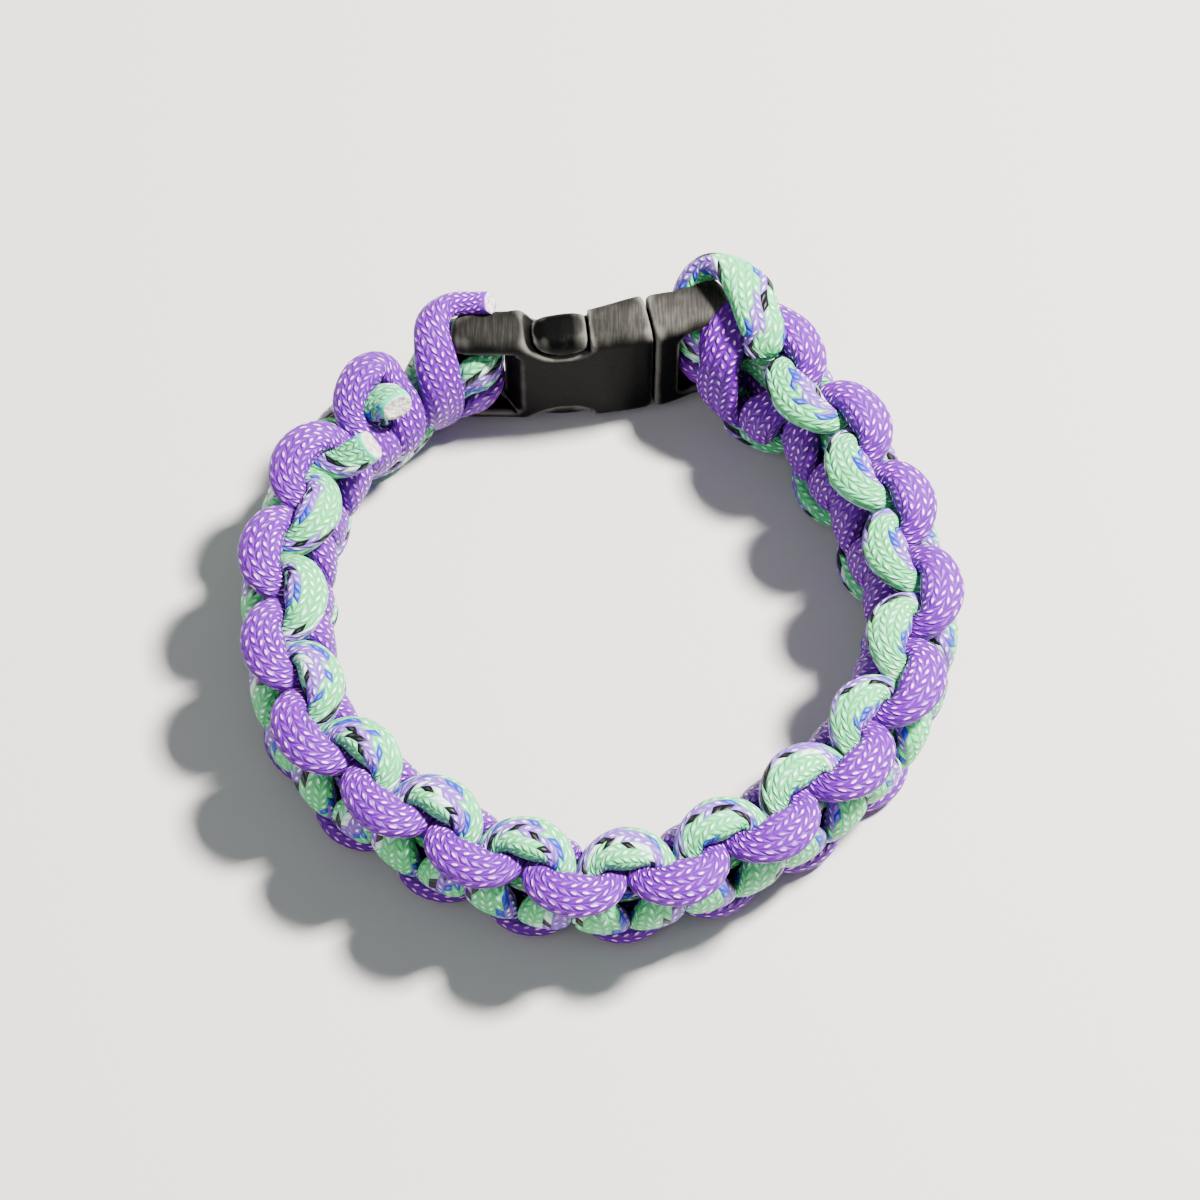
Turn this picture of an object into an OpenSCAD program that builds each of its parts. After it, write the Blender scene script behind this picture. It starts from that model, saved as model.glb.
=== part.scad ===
// Two-colour paracord bracelet in a cobra weave, fastened with a contoured side-release buckle.
// It lies on its edge: Z runs across the band, the wrist goes through along Z.

/* [Bracelet] */
// Half of the loop's width, to the middle of the band
ring_half_x = 31.8; // [28:0.1:40]
// Reach of the loop from its middle to the side opposite the buckle
ring_half_y = 30.4; // [27:0.1:38]
// Nominal diameter of both cords
cord_d = 4; // [3.6:0.1:4.4]

/* [Buckle] */
// Width of the buckle, across the band
buckle_w = 15.2; // [14:0.1:18]
// Thickness of the closed body, at its middle
buckle_t = 5.2; // [5:0.1:6.5]
// Thickness of both ends, where the bars are
shackle_t = 4.2; // [3.9:0.1:5]
// Radius that the whole buckle is curved to, hollow side outwards
buckle_bend = 80; // [60:1:150]
// Size of each bar along the buckle
bar_l = 2.7; // [2.4:0.1:3.2]
// Thickness of each bar
bar_t = 2.7; // [2.4:0.1:3.2]
// Length of the socket's body, between its slot and the seam
socket_body_l = 13.3; // [12:0.1:18]
// Length of the plug's shoulder, between the seam and its slot
plug_body_l = 2.5; // [2:0.1:4]
// Spare length of the socket's slot beside the cords
slot_spare = 2.1; // [1:0.1:4]
// Height of both slots, across the band
slot_w = 11.6; // [11:0.1:12]
// Middle of the buckle, left or right of the loop's middle
buckle_x = -1; // [-3:0.1:3]
// Middle of the buckle, from the loop's middle
buckle_y = 31; // [28:0.1:38]
// Turn of the buckle, rising to the right
buckle_tilt = 8; // [0:0.5:12]

/* [Fits] */
// Gap between strands, and between cord and buckle
cord_gap = 0.15; // [0.1:0.01:0.3]
// Gap between socket and plug
fit_gap = 0.25; // [0.2:0.01:0.4]

/* [Hidden] */
purple = [0.55, 0.30, 0.80];
mint = [0.55, 0.86, 0.70];
black = [0.10, 0.10, 0.11];

// Sizes of the weave that follow the cord
cord_w = 1.05 * cord_d;        // a strand pressed flat: its width
cord_t = 0.65 * cord_d;        // and its thickness
loop_t = 0.92 * cord_t;        // thickness where a strand goes round a bar
core_d = 0.71 * cord_d;        // the two straight core strands
core_across = 0.42 * cord_d;   // and their distance from the band's middle
half_w = 2.02 * cord_d;        // half of the band's width
half_t = 1.15 * cord_d;        // half of its thickness
least_pitch = 1.25 * cord_d;   // least distance between two half knots
cord_sides = 8;
loop_steps = 5;
core_steps = 30;
run_steps = 16;

// Lengths along the buckle, all measured from its left end
loop_room = loop_t + 2 * cord_gap;
loop_r = (bar_t / 2 + cord_gap + loop_t / 2) / cos(90 / loop_steps);
socket_slot_l = loop_room + slot_spare;
plug_slot_l = loop_room + 0.2 * slot_spare;
socket_body_at = bar_l + socket_slot_l;
seam_at = socket_body_at + socket_body_l;
plug_at = seam_at + fit_gap;
plug_slot_at = plug_at + plug_body_l;
plug_bar_at = plug_slot_at + plug_slot_l;
buckle_l = plug_bar_at + bar_l;

function unit(v) = v / norm(v);
function turn(p, a) = [p[0] * cos(a) - p[1] * sin(a), p[0] * sin(a) + p[1] * cos(a)];

// A point of the buckle: distance from its left end, outwards, and across
function buckle_flat(along, out) =
    let (a = (along - buckle_l / 2) / buckle_bend * 180 / PI, r = buckle_bend - out)
    [r * sin(a), buckle_bend - r * cos(a)];
function on_buckle(along, out) = [buckle_x, buckle_y] + turn(buckle_flat(along, out), buckle_tilt);

// Middle line of the band, from the socket's bar round to the plug's bar
// columns: share of ring_half_x, share of ring_half_y
ring_route = [
    [-0.70, 0.73], [-0.95, 0.36], [-1.00, 0.00], [-0.90, -0.42], [-0.65, -0.70],
    [-0.34, -0.91], [0.00, -1.00], [0.34, -0.91], [0.66, -0.68], [0.90, -0.37],
    [1.00, 0.00], [0.94, 0.30], [0.81, 0.61], [0.62, 0.89]];
lead_l = 2.3 * cord_d; // sets the slope at both bars
ring_points = concat(
    [on_buckle(bar_l / 2 + lead_l, 0), on_buckle(bar_l / 2, 0)],
    [for (r = ring_route) [r[0] * ring_half_x, r[1] * ring_half_y]],
    [on_buckle(buckle_l - bar_l / 2, 0), on_buckle(buckle_l - bar_l / 2 - lead_l, 0)]);
ring_spans = len(ring_points) - 3;

function span_of(v) = min(floor(v), ring_spans);
function ring_at(v) =
    let (i = span_of(v), f = v - i, a = ring_points[i - 1], b = ring_points[i],
         c = ring_points[i + 1], d = ring_points[i + 2])
    (2 * b + (c - a) * f + (2 * a - 5 * b + 4 * c - d) * f * f + (3 * b - 3 * c + d - a) * f * f * f) / 2;
function ring_slope(v) =
    let (i = span_of(v), f = v - i, a = ring_points[i - 1], b = ring_points[i],
         c = ring_points[i + 1], d = ring_points[i + 2])
    unit((c - a) + 2 * (2 * a - 5 * b + 4 * c - d) * f + 3 * (3 * b - 3 * c + d - a) * f * f);

ring_stops = [for (i = [0 : ring_spans * run_steps]) 1 + i / run_steps];
ring_line = [for (v = ring_stops) ring_at(v)];
ring_runs = [for (i = 0, run = 0; i < len(ring_line);
    i = i + 1, run = run + (i < len(ring_line) ? norm(ring_line[i] - ring_line[i - 1]) : 0)) run];
run_table = [for (i = [0 : len(ring_runs) - 1]) [ring_runs[i], ring_stops[i]]];
band_l = ring_runs[len(ring_runs) - 1];

// The half knots fill the band between the two bars
lead_in = 0.70 * least_pitch;
lead_out = 1.42 * least_pitch;
knots = 2 * floor((band_l - lead_in - lead_out) / (2 * least_pitch));
pitch = (band_l - lead_in - lead_out) / knots;

// A strand from the middle of a crossing to the middle of the next bump on the band's edge
// columns: along (share of pitch), across (share of half_w), out (share of half_t),
//          width (share of cord_w), thickness (share of cord_t)
quarter = [
    [0.00, 0.00, 0.72, 1.00, 1.00],
    [-0.10, 0.28, 0.67, 0.90, 0.85],
    [-0.22, 0.48, 0.37, 0.62, 0.77],
    [-0.25, 0.64, -0.07, 0.39, 0.87],
    [-0.02, 0.80, -0.42, 0.62, 0.88],
    [0.50, 0.84, -0.53, 0.93, 1.00]];

// Ends of the strands, in the same columns, with along measured from the nearer bar
core_from_bar = [
    [0.40, 0.26, 0.51, 0.78, 0.94], [0.75, 0.22, 0.22, 0.71, 1.03], [1.11, 0.21, 0.04, 0.68, 1.08]];
mint_over_edge = [
    [1.58, 0.73, -0.43, 0.52, 0.88], [1.37, 0.88, -0.55, 0.67, 0.88], [1.15, 1.03, -0.20, 0.81, 0.85],
    [0.86, 1.10, 0.27, 0.90, 0.85], [0.48, 1.10, 0.66, 0.93, 0.85], [0.08, 1.01, 0.87, 0.93, 0.88],
    [-0.28, 0.83, 0.88, 0.93, 0.90], [-0.53, 0.60, 0.74, 0.93, 0.90], [-0.60, 0.42, 0.42, 0.93, 0.92]];
mint_tail = [
    [0.32, 0.22, -0.62, 0.82, 0.77], [0.64, 0.00, -0.58, 0.76, 0.77], [0.93, -0.25, -0.57, 0.71, 0.77],
    [1.20, -0.49, -0.57, 0.69, 0.77], [1.50, -0.71, -0.58, 0.74, 0.81], [1.74, -0.83, -0.57, 0.81, 0.88]];
purple_first = [
    [1.58, 0.80, 0.54, 0.76, 0.90], [1.23, 0.70, 0.48, 0.62, 0.88], [0.91, 0.62, 0.26, 0.57, 0.88],
    [0.75, 0.67, -0.17, 0.57, 0.88], [0.65, 0.64, -0.67, 0.71, 0.88], [0.48, 0.43, -1.07, 0.90, 0.88],
    [0.36, 0.12, -1.20, 0.95, 0.88], [0.57, -0.10, -1.17, 0.95, 0.88], [1.03, -0.22, -1.02, 0.86, 0.85],
    [1.39, -0.33, -0.78, 0.76, 0.81], [1.60, -0.45, -0.41, 0.58, 0.73], [1.64, -0.61, -0.02, 0.38, 0.79],
    [1.50, -0.79, 0.37, 0.62, 0.88], [1.07, -0.81, 0.61, 0.86, 0.92], [0.63, -0.67, 0.78, 0.93, 0.92],
    [0.30, -0.48, 0.74, 0.93, 0.92]];
purple_last = [
    [-0.80, 0.86, 0.42, 0.78, 0.92], [-0.45, 0.88, 0.62, 0.78, 0.92], [-0.10, 0.92, 0.72, 0.80, 0.92],
    [0.24, 0.97, 0.62, 0.84, 0.92], [0.54, 1.00, 0.28, 0.88, 0.92], [0.78, 0.96, -0.24, 0.88, 0.90],
    [0.88, 0.78, -0.72, 0.88, 0.88], [0.88, 0.48, -1.00, 0.88, 0.88], [0.88, 0.13, -1.08, 0.88, 0.88],
    [0.85, -0.24, -1.10, 0.88, 0.88], [0.80, -0.56, -1.01, 0.84, 0.88], [0.77, -0.80, -0.63, 0.74, 0.88],
    [0.88, -0.88, -0.06, 0.66, 0.88]];
purple_tail = [
    [0.30, -0.48, -0.50, 0.66, 0.79], [0.50, -0.59, -0.28, 0.60, 0.75], [0.71, -0.57, 0.04, 0.57, 0.75]];
// Melted ends of the mint cord, with along as share of pitch from the first crossing
mint_finish = [2.33, 0.84, -0.53, 0.90, 1.00];
mint_stub = [[1.62, 0.78, -0.28, 0.62, 0.92], [1.50, 0.94, -0.35, 0.67, 0.96]];

// A row of a table as a section of a strand: along, across and out, then width and thickness
function section(at, r, side, face) =
    [at, side * r[1] * half_w, face * r[2] * half_t, r[3] * cord_w, r[4] * cord_t];
function knot_at(k) = lead_in + k * pitch;
function side_of(k, face) = (k % 2 == 0 ? 1 : -1) * face;
function from_knot(k, r, side, face) = section(knot_at(k + r[0]), r, side, face);
function to_knot(k, r, side, face) = section(knot_at(k + 1 - r[0]), r, side, face);
function backwards(list) = [for (i = [len(list) - 1 : -1 : 0]) list[i]];

// Crossing k out to the bump behind it, and that bump in to crossing k + 1
function leave(k, face, rows = quarter) = [for (r = rows) from_knot(k, r, side_of(k, face), face)];
function arrive(k, face, rows = quarter) = [for (r = backwards(rows)) to_knot(k, r, side_of(k, face), face)];
function but_last(list) = [for (i = [0 : len(list) - 2]) list[i]];
function weave(first, last, face) =
    [for (k = [first : last - 1]) each concat(but_last(leave(k, face)), but_last(arrive(k, face)))];

function by_left_bar(rows, side = 1) = [for (r = rows) section(r[0] * pitch, r, side, 1)];
function by_right_bar(rows, side = 1, face = 1) =
    [for (r = rows) section(band_l - r[0] * pitch, r, side, face)];
// Round a bar from its outer side, through the slot, to its inner side
function bar_loop(side, left, first = 0) = [for (i = [first : loop_steps])
    let (a = 90 + 180 * i / loop_steps, along = cos(a) * loop_r)
    [left ? along : band_l - along, side * (0.31 + 0.02 * i / loop_steps) * half_w,
     sin(a) * loop_r, 0.93 * cord_w, loop_t]];
core_start = 1.6 * pitch;
core_l = band_l - 2 * core_start;
function core(side) = [for (i = [0 : core_steps])
    [band_l - core_start - core_l * i / core_steps, side * core_across, 0, core_d, core_d]];
function core_between_bars(side, first = 0) = concat(
    bar_loop(side, false, first), by_right_bar(core_from_bar, side, -1), core(side),
    backwards(by_left_bar(core_from_bar, side)), bar_loop(side, true));

// Each cord from its finish, through the weave, back along the core to its start
mint_route = concat(
    [from_knot(0, mint_finish, 1, 1)], but_last(arrive(2, 1)), weave(3, knots, 1),
    leave(knots, 1, [for (i = [0 : 3]) quarter[i]]), by_right_bar(mint_over_edge),
    core_between_bars(1, 2), by_left_bar(mint_tail), arrive(1, 1),
    [for (i = [1 : 3]) from_knot(2, quarter[i], side_of(2, 1), 1)],
    [for (r = mint_stub) from_knot(0, r, 1, 1)]);
purple_route = concat(
    by_left_bar(purple_last), but_last(arrive(0, -1)), weave(1, knots - 1, -1),
    leave(knots - 1, -1), by_right_bar(purple_first), core_between_bars(-1),
    by_left_bar(purple_tail));

// The side of a section that faces away from the band's middle, or from a bar beside it
function away(q) =
    let (past = min(q[0], 0) + max(q[0] - band_l, 0), near = min(q[0], band_l - q[0]) / (0.8 * pitch))
    [past, q[1] * min(1, max(0.25, near)), q[2]];
function path_slope(route, i) =
    let (a = route[max(i - 1, 0)], b = route[min(i + 1, len(route) - 1)])
    unit([b[0] - a[0], b[1] - a[1], b[2] - a[2]]);
// A flat-band point taken onto the curved loop
function bend(q) =
    let (s = min(max(q[0], 0), band_l), v = lookup(s, run_table), at = ring_at(v), go = ring_slope(v),
         p = at + go * (q[0] - s) + [go[1], -go[0]] * q[2])
    [p[0], p[1], q[1]];
function ring_of_points(route, i) =
    let (q = route[i], go = path_slope(route, i), f = away(q), n = unit(f - (f * go) * go),
         b = cross(go, n), grow = 1 / cos(180 / cord_sides))
    [for (j = [0 : cord_sides - 1])
        let (a = (j + 0.5) * 360 / cord_sides)
        bend([q[0], q[1], q[2]] + b * cos(a) * q[3] / 2 * grow + n * sin(a) * q[4] / 2 * grow)];
function tube_points(route) = [for (i = [0 : len(route) - 1]) each ring_of_points(route, i)];
function tube_faces(rings, n) = concat(
    [for (i = [0 : rings - 2], j = [0 : n - 1])
        let (a = i * n + j, b = i * n + (j + 1) % n) each [[a, b, b + n], [a, b + n, a + n]]],
    [for (j = [1 : n - 2]) [0, j + 1, j]],
    [for (j = [1 : n - 2], o = (rings - 1) * n) [o, o + j, o + j + 1]]);

mint_points = tube_points(mint_route);
purple_points = tube_points(purple_route);

// The finished bracelet stands centred on the origin, its lower edge at height 0
all_points = concat(mint_points, purple_points);
low = [for (c = [0 : 2]) min([for (p = all_points) p[c]])];
high = [for (c = [0 : 2]) max([for (p = all_points) p[c]])];
place = [-(low[0] + high[0]) / 2, -(low[1] + high[1]) / 2, -low[2]];

module cord(points, route) {
    translate(place) polyhedron(points, tube_faces(len(route), cord_sides), convexity = 12);
}
module mint_cord() { color(mint) cord(mint_points, mint_route); }
module purple_cord() { color(purple) cord(purple_points, purple_route); }

// Sections of the buckle's moulded bodies: rounded rectangles along the buckle
edge_r = 1.1;
corner_steps = 4;
function skin_ring(r, round) =
    let (c = min(round, 0.8 * r[1], 0.8 * r[3]))
    [for (q = [0 : 3], i = [0 : corner_steps])
        let (a = -90 * (q + i / corner_steps), u = q == 0 || q == 3 ? 1 : -1, v = q < 2 ? -1 : 1,
             p = buckle_flat(r[0], u * (r[1] - c) + c * cos(a)))
        [p[0], p[1], r[2] + v * (r[3] - c) + c * sin(a)]];
// rows: along, half thickness, middle across, half width
module skin(rows, round = edge_r) {
    polyhedron([for (r = rows) each skin_ring(r, round)],
        tube_faces(len(rows), 4 * (corner_steps + 1)), convexity = 4);
}
// A block that follows the buckle's curve
module curved_block(from, to, thick, low, high) {
    a = (from - buckle_l / 2) / buckle_bend * 180 / PI;
    b = (to - buckle_l / 2) / buckle_bend * 180 / PI;
    translate([0, buckle_bend]) rotate(a - 90) rotate_extrude(angle = b - a, $fn = 180)
        translate([buckle_bend - thick / 2, low]) square([thick, high - low]);
}
// A cut or block through the thickness, drawn along and across the buckle
module through(at) {
    p = buckle_flat(at, 0);
    translate([p[0], p[1]]) rotate((at - buckle_l / 2) / buckle_bend * 180 / PI)
        rotate([90, 0, 0]) linear_extrude(3 * buckle_t, center = true) children();
}
module rounded_slot(l, w, r) {
    square([l - 2 * r, w], center = true);
    square([l, w - 2 * r], center = true);
    for (x = [-1, 1], y = [-1, 1]) translate([x * (l / 2 - r), y * (w / 2 - r)]) circle(r, $fn = 32);
}

// The round bar that the cords go round, sunk into both rails
bar_seat = 0.6;
module bar(at) {
    p = buckle_flat(at, 0);
    translate([p[0], p[1], -slot_w / 2 - bar_seat]) cylinder(h = slot_w + 2 * bar_seat, d = bar_t, $fn = 32);
}

// Half sizes of the moulded bodies, and the hollow inside the socket
half_buckle = buckle_w / 2;
half_body = buckle_t / 2;
half_shackle = shackle_t / 2;
wall = 0.95;
cavity_t = buckle_t - 2 * wall;
cavity_w = buckle_w - 3 * wall;
cavity_at = socket_body_at + 1.5 * wall;
slot_r = 1.2;

// Hollows in the socket's edges, where the plug's pads show
notch_l = 6.4;
notch_depth = 2.7;
notch_end = seam_at - 6.3;
notch_at = notch_end - 0.44 * notch_l;
notch_r = (pow(0.63 * notch_l, 2) + pow(notch_depth, 2)) / (2 * notch_depth);

// The plug's two springy arms with their pads, and the guide between them
inner_t = cavity_t - 2 * fit_gap;
root_at = plug_at + 0.5;
arm_out = cavity_w / 2 - fit_gap;
arm_in = arm_out - 1.9;
guide_half = 1.2;
pad_in = half_buckle - notch_depth - 0.6;
pad_mid = (pad_in + half_buckle) / 2;
pad_half = (half_buckle - pad_in) / 2;
pad_round = 1.5;

// Round hollow in both edges of the socket, ended by an upright wall towards the seam
module notch_outline(gap) {
    intersection() {
        translate([0, half_buckle - notch_depth + notch_r]) circle(notch_r - gap, $fn = 64);
        translate([-notch_l, 0]) square([notch_l + notch_end - notch_at - gap, buckle_w]);
    }
}

module socket_skin() {
    e = bar_l / 2;
    skin([
        [0, 0.45 * half_shackle, 0, half_buckle - 1.5],
        [0.15 * e, 0.70 * half_shackle, 0, half_buckle - 0.8],
        [0.55 * e, 0.90 * half_shackle, 0, half_buckle - 0.25],
        [1.3 * e, half_shackle, 0, half_buckle],
        [socket_body_at - 1.4, 1.03 * half_shackle, 0, half_buckle],
        [socket_body_at + 0.4, half_shackle + 0.55 * (half_body - half_shackle), 0, half_buckle],
        [socket_body_at + 2.2, 0.97 * half_body, 0, half_buckle],
        [seam_at - 6, half_body, 0, half_buckle],
        [seam_at - 2.2, 1.02 * half_body, 0, half_buckle],
        [seam_at - 0.5, 0.99 * half_body, 0, half_buckle],
        [seam_at, 0.92 * half_body, 0, half_buckle - 0.2]]);
}
module plug_skin() {
    e = bar_l / 2;
    skin([
        [plug_at, 0.92 * half_body, 0, half_buckle - 0.2],
        [plug_at + 0.5, 0.98 * half_body, 0, half_buckle],
        [plug_slot_at - 0.3, half_shackle + 0.6 * (half_body - half_shackle), 0, half_buckle],
        [plug_slot_at + 1.5, 1.02 * half_shackle, 0, half_buckle],
        [buckle_l - 1.3 * e, half_shackle, 0, half_buckle],
        [buckle_l - 0.55 * e, 0.90 * half_shackle, 0, half_buckle - 0.25],
        [buckle_l - 0.15 * e, 0.70 * half_shackle, 0, half_buckle - 0.8],
        [buckle_l, 0.45 * half_shackle, 0, half_buckle - 1.5]]);
}
module in_place() { translate(place) translate([buckle_x, buckle_y, 0]) rotate(buckle_tilt) children(); }

module buckle_socket() {
    color(black) in_place() {
        difference() {
            socket_skin();
            through(bar_l + socket_slot_l / 2) rounded_slot(socket_slot_l, slot_w, slot_r);
            through(bar_l / 2) square([bar_l + 2 * slot_r, slot_w], center = true);
            curved_block(cavity_at, plug_at + fit_gap, cavity_t, -cavity_w / 2, cavity_w / 2);
            for (s = [0, 1]) mirror([0, 0, s]) through(notch_at) notch_outline(0);
        }
        bar(bar_l / 2);
    }
}

// One springy arm, and its pad cut to the outline of the socket's hollow
module prong() {
    curved_block(notch_end - 1.5, root_at, inner_t, arm_in, arm_out);
    curved_block(notch_at - 0.3 * notch_l, notch_end - 0.5, inner_t - wall / 2, arm_in + wall / 2, pad_mid);
    intersection() {
        skin([
            [notch_at - 0.56 * notch_l, 0.35 * half_body, pad_mid - 0.1, 0.35 * pad_half],
            [notch_at - 0.48 * notch_l, 0.62 * half_body, pad_mid - 0.1, 0.65 * pad_half],
            [notch_at - 0.30 * notch_l, 0.78 * half_body, pad_mid, 0.88 * pad_half],
            [notch_at, 0.84 * half_body, pad_mid, 0.98 * pad_half],
            [notch_end - 1.2, 0.84 * half_body, pad_mid, 0.95 * pad_half],
            [notch_end - fit_gap, 0.76 * half_body, pad_mid, 0.86 * pad_half]], pad_round);
        through(notch_at) notch_outline(fit_gap);
    }
}
module buckle_plug() {
    color(black) in_place() {
        difference() {
            plug_skin();
            through(plug_slot_at + plug_slot_l / 2) rounded_slot(plug_slot_l, slot_w, slot_r);
            through(buckle_l - bar_l / 2) square([bar_l + 2 * slot_r, slot_w], center = true);
        }
        bar(buckle_l - bar_l / 2);
        for (s = [0, 1]) mirror([0, 0, s]) prong();
        curved_block(notch_end - 2, root_at, inner_t, -guide_half, guide_half);
    }
}

buckle_socket();
buckle_plug();
purple_cord();
mint_cord();
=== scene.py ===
import bpy
import bmesh
import math
import numpy as np
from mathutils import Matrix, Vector


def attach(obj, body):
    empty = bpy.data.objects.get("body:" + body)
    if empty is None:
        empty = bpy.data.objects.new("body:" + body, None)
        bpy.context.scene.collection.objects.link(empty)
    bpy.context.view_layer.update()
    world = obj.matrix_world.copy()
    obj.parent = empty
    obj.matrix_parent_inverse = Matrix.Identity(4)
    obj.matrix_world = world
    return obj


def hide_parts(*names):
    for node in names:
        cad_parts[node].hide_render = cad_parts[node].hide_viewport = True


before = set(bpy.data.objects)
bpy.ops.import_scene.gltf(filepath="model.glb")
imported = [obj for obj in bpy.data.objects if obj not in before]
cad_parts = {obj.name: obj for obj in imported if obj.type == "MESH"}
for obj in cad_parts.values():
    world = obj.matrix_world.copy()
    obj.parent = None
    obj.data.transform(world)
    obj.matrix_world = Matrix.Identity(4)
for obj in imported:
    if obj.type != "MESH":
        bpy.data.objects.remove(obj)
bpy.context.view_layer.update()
mm = 0.001


# the camera looks down steeply at the upper rim of the band
cameraLook = {
    "target": (0.0795, -2.294, 14.8),  # mm
    "tilt": 27.0,  # degrees from straight down
    "distance": 360.0,  # mm
    "lens": 108.0,
    "sensor": 36.0,
    "nearest": 0.01,  # m
    "shift": (0.0, -0.0042),
}


def addCamera(look):
    data = bpy.data.cameras.new("photoCamera")
    data.lens = look["lens"]
    data.sensor_width = look["sensor"]
    data.clip_start = look["nearest"]
    data.shift_x, data.shift_y = look["shift"]
    camera = bpy.data.objects.new("photoCamera", data)
    bpy.context.collection.objects.link(camera)
    tilt = math.radians(look["tilt"])
    back = Vector((0, -math.sin(tilt), math.cos(tilt))) * look["distance"]
    camera.location = (Vector(look["target"]) + back) * mm
    camera.rotation_euler = (tilt, 0, 0)
    bpy.context.scene.camera = camera


addCamera(cameraLook)
print("camera placed")


# shader nodes written as sums: a wire is one node's output
class Wire:
    def __init__(self, tree, socket=None):
        self.tree = tree
        self.socket = socket

    def node(self, kind, links=None, out=0, stops=None, **settings):
        made = self.tree.nodes.new(kind)
        for name, value in settings.items():
            setattr(made, name, value)
        if stops:
            ramp = made.color_ramp
            ramp.interpolation = "CONSTANT"  # a yarn doesn't blend into the next
            while len(ramp.elements) < len(stops):
                ramp.elements.new(1.0)
            for element, (at, colour) in zip(ramp.elements, stops):
                element.position = at
                element.color = colour
        for key, value in (links or {}).items():
            if isinstance(value, Wire):
                self.tree.links.new(value.socket, made.inputs[key])
            else:
                made.inputs[key].default_value = value
        return Wire(self.tree, made.outputs[out])

    def maths(self, operation, *values):
        return self.node("ShaderNodeMath", dict(enumerate(values)), operation=operation)

    def __add__(self, other):
        return self.maths("ADD", self, other)

    def __sub__(self, other):
        return self.maths("SUBTRACT", self, other)

    def __rsub__(self, other):
        return self.maths("SUBTRACT", other, self)

    def __mul__(self, other):
        return self.maths("MULTIPLY", self, other)

    def __truediv__(self, other):
        return self.maths("DIVIDE", self, other)

    def __pow__(self, other):
        return self.maths("POWER", self, other)

    def __mod__(self, other):
        return self.maths("FLOORED_MODULO", self, other)

    __radd__ = __add__
    __rmul__ = __mul__

    def floor(self):
        return self.maths("FLOOR", self)

    def sine(self):
        return self.maths("SINE", self)

    def step(self, low, high):  # 0 below low, 1 above high, smooth between
        ends = {0: self, 1: low, 2: high}
        return self.node("ShaderNodeMapRange", ends, interpolation_type="SMOOTHSTEP")

    def mixed(self, first, second):  # this wire is the share of the second colour
        colours = {0: self, 6: first, 7: second}
        return self.node("ShaderNodeMix", colours, out=2, data_type="RGBA")


def newMaterial(name):
    material = bpy.data.materials.new(name)
    material.use_nodes = True
    tree = material.node_tree
    return material, Wire(tree), tree.nodes["Principled BSDF"]


def join(wire, shader, socket):
    wire.tree.links.new(wire.socket, shader.inputs[socket])


# small helpers that every piece uses
def meshFrom(bm, mesh):
    bm.to_mesh(mesh)
    bm.free()
    return mesh


def smoothAll(bm):
    for face in bm.faces:
        face.smooth = True


def pointsOf(mesh, what="co"):
    flat = np.zeros(len(mesh.vertices) * 3)
    mesh.vertices.foreach_get(what, flat)
    return flat.reshape(-1, 3)


def newPiece(name, mesh):
    piece = bpy.data.objects.new(name, mesh)
    bpy.context.collection.objects.link(piece)
    return piece


# braided cord: its "braid" UV map counts columns round the cord and mm along it
braidLook = {
    "columns": 16,
    "stitch": 0.92,  # mm along the cord
    "climb": 0.75,  # stitches that a yarn climbs from one column to the next
    "yarnRun": 2.0,  # stitches of the first yarns, then as many of the second
    "phase": -0.14,  # where the coloured stripes start, in turns
    "drift": 0.03,  # turns that they creep round the cord in one mm
    "roundness": (0.8, 0.6),  # powers that fill a stitch out, along the cord and round it
    "valley": 0.30,  # height below which the gaps between stitches get painted shade
    # the colour that the painted shade in the gaps multiplies by
    "creaseShade": (0.76, 0.70, 0.80, 1),
    "relief": 0.00013,  # m
    "gloss": 0.18,
    "glint": 4.9,  # a stitch is this many painted glint sizes long and wide
    "glintEdge": (0.55, 1.25),  # bright up to here and gone there, as squares of the distance
    "leastGlint": 0.12,
    "patches": 0.22,  # noise scale of the parts of the cord that catch more light
    "luck": 0.6,  # how much a single stitch's own luck counts there
    "columnSeed": 1.7,  # sets the luck of neighbouring columns apart
    "caught": (0.45, 1.0),  # light from which a stitch glints more, and most
    "rough": 0.26,  # of a melted rim
    "braidRough": 0.14,  # more where it is braided
    "glintRough": 0.18,  # less in a glint
    "melt": (0.3, 1.5),  # mm from a cut end over which the yarns fade into the melted rim
}
yarnTones = {  # the fourth number is how much painted glint a yarn gets
    "m": (0.072, 0.50, 0.172, 1),
    "g": (0.13, 0.55, 0.27, 1),
    "w": (0.50, 0.70, 0.58, 1),
    "l": (0.19, 0.075, 0.46, 1),
    "b": (0.012, 0.028, 0.40, 0.15),
    "k": (0.004, 0.0035, 0.005, 0.03),
    "p": (0.114, 0.0018, 0.30, 1),
    "v": (0.088, 0.0014, 0.26, 1),
}
purpleLook = {
    "yarns": ("ppppppvppppppvpp", "ppvppppppvpppppp"),  # first and second, a letter for each column
    "paintedGlint": (1.0, 0.48, 1.0, 1),  # painted highlight: the colour of a stitch where it glints
    "melted": (0.14, 0.015, 0.36, 1),  # the rim beside a cut end
    "end": ((0.50, 0.36, 0.46, 1), (0.86, 0.74, 0.82, 1)),  # dull and pale parts of the cut
}
mintLook = {
    "yarns": ("mmgmmkllbmmmmklb", "mmmmgwllmmmmgllm"),
    # the painted highlight on a mint stitch where it glints
    "paintedGlint": (0.74, 1.0, 0.78, 1),
    "melted": (0.06, 0.52, 0.34, 1),
    "end": ((0.36, 0.36, 0.31, 1), (0.74, 0.73, 0.66, 1)),
}
# a cut end, where the yarns have melted together
meltLook = {"scale": 1900.0, "pale": (0.35, 0.7), "relief": 0.0003, "rough": 0.5}


def yarnStops(yarns):
    return [(i / len(yarns), yarnTones[tone]) for i, tone in enumerate(yarns)]


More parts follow.
